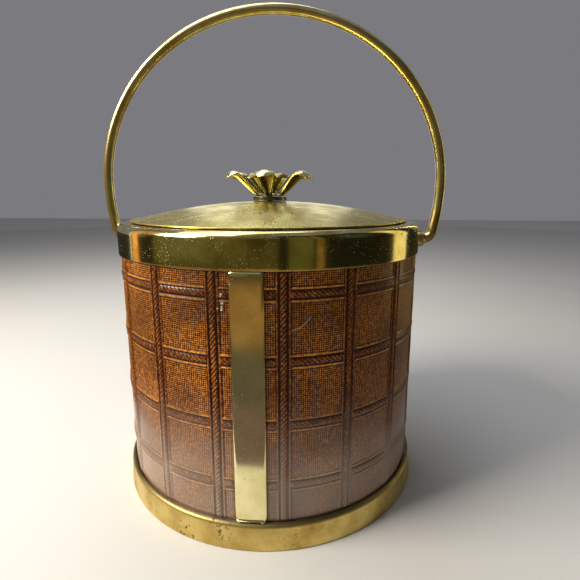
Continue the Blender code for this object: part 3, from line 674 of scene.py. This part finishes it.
def make_bail():
    """The rod, a circle of points carried along its path with a very slight unevenness, and the
    two turned bosses that it swings in."""
    path, rod = bail_path()
    ahead = np.gradient(path, axis=0)
    ahead /= np.linalg.norm(ahead, axis=1, keepdims=True)
    outward = np.stack([-ahead[:, 1], ahead[:, 0]], axis=1)
    sides = 40
    turn = np.linspace(0.0, TURN, sides, endpoint=False)[None, :]
    distance = np.linspace(0.0, 1.0, len(path))[:, None]
    steps = np.arange(len(path))
    near_end = np.clip(np.minimum(steps, steps[::-1]) / 2.0, 0.0, 1.0)[:, None]
    uneven = 1.0 + 0.0015 * smooth_noise(turn / TURN * 5, distance * 60, 5, 4)
    radius = rod * (0.75 + 0.25 * near_end) * uneven
    points = np.stack([path[:, :1] + radius * np.cos(turn) * outward[:, :1], -radius * np.sin(turn),
                       path[:, 1:] + radius * np.cos(turn) * outward[:, 1:]], axis=-1)
    faces = grid_faces(len(path), sides, False, True).tolist()
    faces.append(list(range(sides))[::-1])
    faces.append(list(range((len(path) - 1) * sides, len(path) * sides)))
    add_object("brass_bail", points.reshape(-1, 3), faces, ROD_BRASS, "bail", ["bail_handle"])

    start, end, radius = BOSS_LOW[0], BOSS_HIGH[0], 0.5 * (BOSS_HIGH[2] - BOSS_LOW[2])
    bore = 3.6
    boss = outline(arc(radius - 0.4, start + 0.4, 0.4, -90.0, 0.0, 5),
                   arc(radius - 1.5, end - 2.2, 1.5, 0.0, 70.0, 9),
                   line((radius - 1.3, end - 0.4), (radius - 1.6, end), (bore, end), spacing=1.0),
                   line((bore, end), (bore, start), spacing=1.5))
    for word, side in (("left", -1.0), ("right", 1.0)):
        turned("brass_" + word + "_boss", boss, ROD_BRASS, "bucket", [word + "_pivot_boss"],
               72, 0.0, 1, side)


# ---------------------------------------------------------------- lid and knob

DOME_SINK = 11.5   # how far the dome's edge lies below its crown
DOME_FLAT = 2.4    # width of its flat edge
DOME_HOLE = 2.5
PETAL_ROOT, PETAL_KNEE, PETAL_CROWN = 193.6, 205.0, 209.0   # heights of a petal's middle line
HUB_RADIUS, KNEE_RADIUS, CROWN_RADIUS, TIP_START = 9.4, 19.5, 25.5, 27.4
TIP_REACH = 5.0    # from where the tip starts to its end
PETAL_HALF = 6.4   # half the widest part
PETAL_WAIST = 1.9  # half the width at the hub


def dome_height(radius):
    """Height of the dome's outside: the crown less a share that grows with the radius squared."""
    return DOME_HIGH[2] - DOME_SINK * (radius / (DOME_HIGH[0] - DOME_FLAT)) ** 2


def make_lid():
    """The brass dome with its flat edge, the pan that plugs the mouth, and the pan's seal."""
    edge, low, thick, under_edge = DOME_HIGH[0], DOME_LOW[2], 0.9, 3.2
    radii = np.linspace(edge - DOME_FLAT, DOME_HOLE, 90)
    under = np.linspace(DOME_HOLE, edge - under_edge, 60)
    profile = outline(arc(edge - 0.5, low + 0.5, 0.5, -90.0, 80.0, 9),
                      np.stack([radii, dome_height(radii)], axis=1),
                      np.stack([under, dome_height(under) - thick], axis=1),
                      line((edge - under_edge, low), (edge - 0.5, low), spacing=0.8))
    turned("brass_lid_dome", profile, LID_BRASS, "lid", ["lid_dome"], 320, 0.05, 11)

    pan, low, high = PAN_HIGH[0], PAN_LOW[2], PAN_HIGH[2]
    wall, corner, thick = pan - 4.3, 3.0, 1.0
    tray = outline(arc(wall - corner, low + corner, corner, -90.0, 0.0, 8),
                   line((wall, low + corner), (wall, high - thick), (pan, high - thick), (pan, high),
                        (wall - thick, high), (wall - thick, low + corner), spacing=4.0),
                   arc(wall - corner, low + corner, corner - thick, 0.0, -90.0, 8),
                   line((wall - corner, low + thick), (0.3, low + thick), (0.3, low), (wall - corner, low),
                        spacing=8.0))
    turned("moulded_lid_pan", tray, LINER_PLASTIC, "lid", ["lid_inner_pan"], 192)

    inner, outer, low, high = wall + 0.4, SEAL_HIGH[0], SEAL_LOW[2], SEAL_HIGH[2]
    middle, nose = 0.5 * (low + high), 0.6
    seal = outline(line((inner, low), (outer - 0.3, middle - nose), spacing=0.4),
                   arc(outer - nose, middle, nose, -60.0, 60.0, 7),
                   line((outer - 0.3, middle + nose), (inner, high), (inner, low), spacing=0.4))
    turned("rubber_lid_seal", seal, RUBBER, "lid", ["lid_seal"], 192)


def petal_line(radius):
    """Height of a petal's middle line: a straight slope up, then over a round crown and down."""
    steep = (PETAL_KNEE - PETAL_ROOT) / (KNEE_RADIUS - HUB_RADIUS)
    slope = PETAL_ROOT + steep * (radius - HUB_RADIUS)
    before = np.clip((CROWN_RADIUS - radius) / (CROWN_RADIUS - KNEE_RADIUS), 0.0, None)
    past = np.clip((radius - CROWN_RADIUS) / (TIP_START + TIP_REACH - CROWN_RADIUS), 0.0, None)
    climb = PETAL_CROWN - (PETAL_CROWN - PETAL_KNEE) * before ** 1.6
    fall = PETAL_CROWN - 3.8 * past ** 2.0
    return np.where(radius < KNEE_RADIUS, slope, np.where(radius < CROWN_RADIUS, climb, fall))


def petal_flower(name, node, scale, rise, lift, turn, finish):
    """Six spoon petals round a hub. A petal's middle surface is its middle line spread sideways by
    its half width, with the sides sinking below the middle like a gutter turned over; the sheet
    is thicker along the sides, which makes the rib. Its underside between the ribs is hollow."""
    tip = np.linspace(0.0, 0.49 * np.pi, 22)[1:]
    radii = np.concatenate([np.linspace(6.0, HUB_RADIUS, 5)[:-1], np.linspace(HUB_RADIUS, TIP_START, 42),
                            TIP_START + TIP_REACH * np.sin(tip)])
    share = np.clip((radii - HUB_RADIUS) / (TIP_START - HUB_RADIUS), 0.0, 1.0)
    width = PETAL_WAIST + (PETAL_HALF - PETAL_WAIST) * np.sin(0.5 * np.pi * share) ** 1.2
    width[-len(tip):] = PETAL_HALF * np.cos(tip)
    height = np.where(radii < HUB_RADIUS, PETAL_ROOT, petal_line(radii))
    across = np.sin(np.linspace(-0.5, 0.5, 23) * np.pi)[None, :]
    offset = across * np.clip(width - 0.7, 0.1, None)[:, None] * scale
    sink = 0.30 * np.abs(across) ** 1.8 * (width * np.clip((radii - 8.0) / 6.0, 0.0, 1.0))[:, None]
    rows = radii[:, None] * scale + 0.0 * offset
    level = PETAL_ROOT + lift + (height[:, None] - PETAL_ROOT - sink) * rise
    rib = np.exp(-((1.0 - np.abs(across)) * np.clip(width, 0.5, None)[:, None] / 1.10) ** 2)
    thick = 0.4 + 1.1 * rib * np.clip((29.0 - radii) / 4.0, 0.15, 1.0)[:, None]
    thick = thick * np.clip(width / 2.5, 0.4, 1.0)[:, None]
    reach = np.clip((radii - 8.0) / 2.0, 0.0, 1.0) * np.clip((30.0 - radii) / 2.0, 0.0, 1.0)
    # Painted shade on the underside between the ribs, carried by the hollow attribute; the hub ring gets half
    underside_shade = 0.95 * (1.0 - rib) * reach[:, None]
    edges = np.zeros((len(radii), 5))
    underside_shade = np.hstack([0.0 * rib, edges, underside_shade[:, ::-1], edges]).ravel()
    points, faces, hollows, count = [], [], [], 0
    for petal in range(6):
        angle = turn + TURN * petal / 6
        middle = np.stack([rows * np.cos(angle) - offset * np.sin(angle),
                           rows * np.sin(angle) + offset * np.cos(angle), level], axis=-1)
        petal_points, petal_faces = thick_sheet(middle, thick)
        points.append(petal_points)
        hollows.append(underside_shade)
        faces += [[number + count for number in face] for face in petal_faces]
        count += len(petal_points)
    hub_angle = np.linspace(0.0, TURN, 96, endpoint=False)[:, None]
    hole, rim, low, high = 2.5, 9.2 * scale, PETAL_ROOT - 0.35 + lift, PETAL_ROOT + 0.35 + lift
    hub = outline(line((hole, low), (rim, low), spacing=1.0), line((rim, low), (rim, high), spacing=0.2),
                  line((rim, high), (hole, high), (hole, low), spacing=1.0))
    ring_points = np.stack([hub[None, :, 0] * np.cos(hub_angle), hub[None, :, 0] * np.sin(hub_angle),
                            hub[None, :, 1] + 0.0 * hub_angle], axis=-1).reshape(-1, 3)
    points.append(ring_points)
    hollows.append(0.5 * np.ones(len(ring_points)))
    faces += (grid_faces(96, len(hub), True, True) + count).tolist()
    made = add_object(name, np.concatenate(points), faces, finish, "lid", [node], 60.0)
    add_attribute(made, "hollow", np.concatenate(hollows))


def make_knob():
    """The grooved base, the large flower, the small one turned half a petal, and the cap nut."""
    radius, low, high = KNOB_HIGH[0], KNOB_LOW[2], KNOB_HIGH[2]
    corner, bore, waist = 0.3, 2.4, KNOB_HIGH[0] - 0.35
    base = outline(arc(radius - corner, low + corner, corner, -90.0, 0.0, 5),
                   line((radius, low + corner), (radius, high - 0.95), (waist, high - 0.85),
                        (waist, high - 0.65), (radius, high - 0.55), spacing=0.3),
                   arc(radius - corner, high - corner, corner, 0.0, 90.0, 6),
                   line((radius - corner, high), (bore, high), (bore, low), spacing=1.0))
    turned("brass_knob_base", base, SHADED_PETAL_BRASS, "lid", ["knob_base"], 128)
    front = -0.5 * np.pi
    petal_flower("brass_outer_petals", "knob_petals_outer", 1.0, 1.0, -0.2, front, PETAL_BRASS)
    # The inner flower takes the darker brass as painted shade
    petal_flower("brass_inner_petals", "knob_petals_inner", 0.72, 0.80, 1.4, front + np.pi / 6, SHADED_PETAL_BRASS)
    low, high, side = CAP_LOW[2], CAP_HIGH[2], CAP_HIGH[0] * 0.98
    crown, bore, axis, foot = 3.4, 2.3, 0.15, CAP_LOW[2] + 0.4
    top = arc(0.0, 0.0, 1.0, 0.0, 90.0, 12)
    dome = np.stack([np.clip(top[:, 0] * side, axis, None), high - crown + top[:, 1] * 0.98 * crown], axis=1)
    cap = outline(line((bore, low), (bore, foot), spacing=0.2),
                  line((side, foot), (side, high - crown), spacing=0.5), dome,
                  line((axis, high), (axis, foot + 0.4), spacing=0.5),
                  line((axis, foot + 0.4), (axis, low), (bore, low), spacing=0.4))
    turned("brass_knob_cap", cap, PETAL_BRASS, "lid", ["knob_cap"], 48)


def finish_hidden_parts():
    """Gives every CAD node that still shows the finish of the real thing."""
    finishes = ((ZINC, ("bottom_plate", "outer_shell", "left_pivot_washer", "right_pivot_washer",
                        "left_push_nut", "right_push_nut", "knob_stud", "knob_washer", "knob_nut")),
                (FOAM, ("insulation_sleeve", "insulation_base", "lid_insulation")),
                (RUBBER, ("rim_gasket",)),
                (FELT, ("base_pad",)))
    for finish, nodes in finishes:
        for node in nodes:
            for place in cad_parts[node].material_slots:
                place.material = finish


# ---------------------------------------------------------------- studio, in metres

def area_light(name, place, target, width, height, power, tint):
    """A soft rectangular light that faces its target."""
    data = bpy.data.lights.new(name, "AREA")
    data.shape, data.size, data.size_y, data.energy = "RECTANGLE", width, height, power
    data.color = colour(tint)[:3]
    made = new_object(name, data)
    made.location = place
    made.rotation_mode = "QUATERNION"
    made.rotation_quaternion = (Vector(target) - Vector(place)).to_track_quat("-Z", "Y")
    made.visible_camera = False


def card(name, first, last, code, strength=1.0, closed=False, flag=False):
    """A studio card between two rows of points. It shows only in reflections: bright cards are
    strips of light, dark ones keep the far floor out of the brass. A flag also takes light away
    from the vinyl."""
    made = bpy.data.materials.new(name)
    made.use_nodes = True
    made.node_tree.nodes.clear()
    glow = add_node(made.node_tree, "Emission", None, {"Color": colour(code), "Strength": strength})
    add_node(made.node_tree, "OutputMaterial", {"Surface": glow}, out=None)
    mesh = bpy.data.meshes.new(name)
    mesh.from_pydata(np.concatenate([first, last]).tolist(), [],
                     grid_faces(2, len(first), False, closed).tolist())
    mesh.materials.append(made)
    shown = new_object(name, mesh)
    shown.visible_camera = shown.visible_shadow = False
    shown.visible_diffuse = flag


def row_round(turn, distance, height):
    """A row of points round the object, at azimuths measured from the front."""
    return np.stack([distance * np.sin(turn), -distance * np.cos(turn), height + 0.0 * turn], axis=-1)


def wall(name, start, end, distance, low, high, code, strength=1.0, flag=False):
    """An upright card curved round the object between two azimuths in degrees."""
    turn = np.radians(np.linspace(start, end, max(3, int(abs(end - start) / 5.0))))
    card(name, row_round(turn, distance, low), row_round(turn, distance, high), code, strength, False, flag)


def ring(name, inner, outer, code):
    """A flat ring card that lies just above the floor."""
    turn, gap = np.linspace(0.0, TURN, 64, endpoint=False), 0.0008
    card(name, row_round(turn, inner, gap), row_round(turn, outer, gap), code, closed=True)


def make_studio():
    """A plain pale floor under a grey sky, the cards that the brass mirrors, and three lights."""
    mesh = bpy.data.meshes.new("floor")
    half = 3.0
    mesh.from_pydata([(-half, -half, 0.0), (half, -half, 0.0), (half, half, 0.0), (-half, half, 0.0)], [],
                     [(0, 1, 2, 3)])
    paint, _, _ = new_material("pale_floor", roughness=0.8, base_color=colour("cdcecd"))
    mesh.materials.append(paint)
    floor = new_object("floor", mesh)

    world = bpy.data.worlds.new("studio")
    world.use_nodes = True
    world.node_tree.nodes["Background"].inputs["Color"].default_value = colour("7b7a7e")
    world.node_tree.nodes["Background"].inputs["Strength"].default_value = 1.0
    bpy.context.scene.world = world
    bpy.context.scene.view_settings.view_transform = "Standard"

    for ring_row in (("near_ring", 0.173, 0.27, "6f605e"), ("olive_ring", 0.27, 0.42, "5a564d"),
                     ("amber_ring", 0.42, 0.82, "8e6f43"), ("far_ring", 0.82, 2.5, "2c2c24")):
        ring(*ring_row)
    for card_row in (("dark_wall", -88.0, 20.0, 2.4, 0.0, 1.2, "25241f"),
                     ("right_flag", 12.0, 96.0, 0.60, 0.001, 1.0, "1f1f19", 1.0, True),
                     ("left_glow", -78.0, -8.0, 0.95, 0.02, 0.9, "66623e"),
                     ("middle_panel", -7.0, 15.0, 0.93, 0.0, 0.7, "4d4929"),
                     ("olive_panel", 18.0, 34.0, 0.58, 0.0, 0.7, "55532c"),
                     ("left_strip", -100.5, -93.0, 0.70, 0.0, 0.7, "ffb45a", 1.1),
                     ("left_edge", -104.0, -102.5, 0.70, 0.0, 0.7, "ffffff", 1.0),
                     ("right_strip", 100.0, 117.0, 0.70, 0.0, 0.8, "fff0b4", 1.15),
                     ("side_flag", 96.0, 135.0, 0.90, 0.001, 0.9, "1f1f19", 1.0, True),
                     ("back_glow", 173.0, 201.0, 1.6, 0.15, 1.1, "e6e4dc", 1.5),
                     ("thin_strip", 36.0, 41.0, 0.58, 0.0, 0.7, "8c7038", 0.8)):
        wall(*card_row)
    area_light("key", (-0.75, -0.35, 0.70), (0.0, 0.0, 0.12), 0.45, 0.45, 15.2, "fff4e2")
    area_light("fill", (0.70, -0.30, 0.55), (0.0, 0.0, 0.12), 0.30, 0.5, 0.4, "f4f6ff")
    area_light("top", (-0.28, 0.12, 0.95), (0.0, 0.0, 0.15), 1.3, 0.5, 5.5, "ffffff")


def make_camera():
    """The camera stands a little right of the front strap, just above the lid, and looks down."""
    data = bpy.data.cameras.new("camera")
    data.lens, data.sensor_width = 27.0, 36.0
    data.clip_start = 0.01
    made = new_object("camera", data)
    made.location = (0.03752, -0.30558, 0.19478)
    made.rotation_mode = "QUATERNION"
    made.rotation_quaternion = Vector((-0.07524, 0.97308, -0.21784)).to_track_quat("-Z", "Y")
    bpy.context.scene.camera = made


make_drum()
make_bail()
make_lid()
make_knob()
finish_hidden_parts()
make_studio()
make_camera()
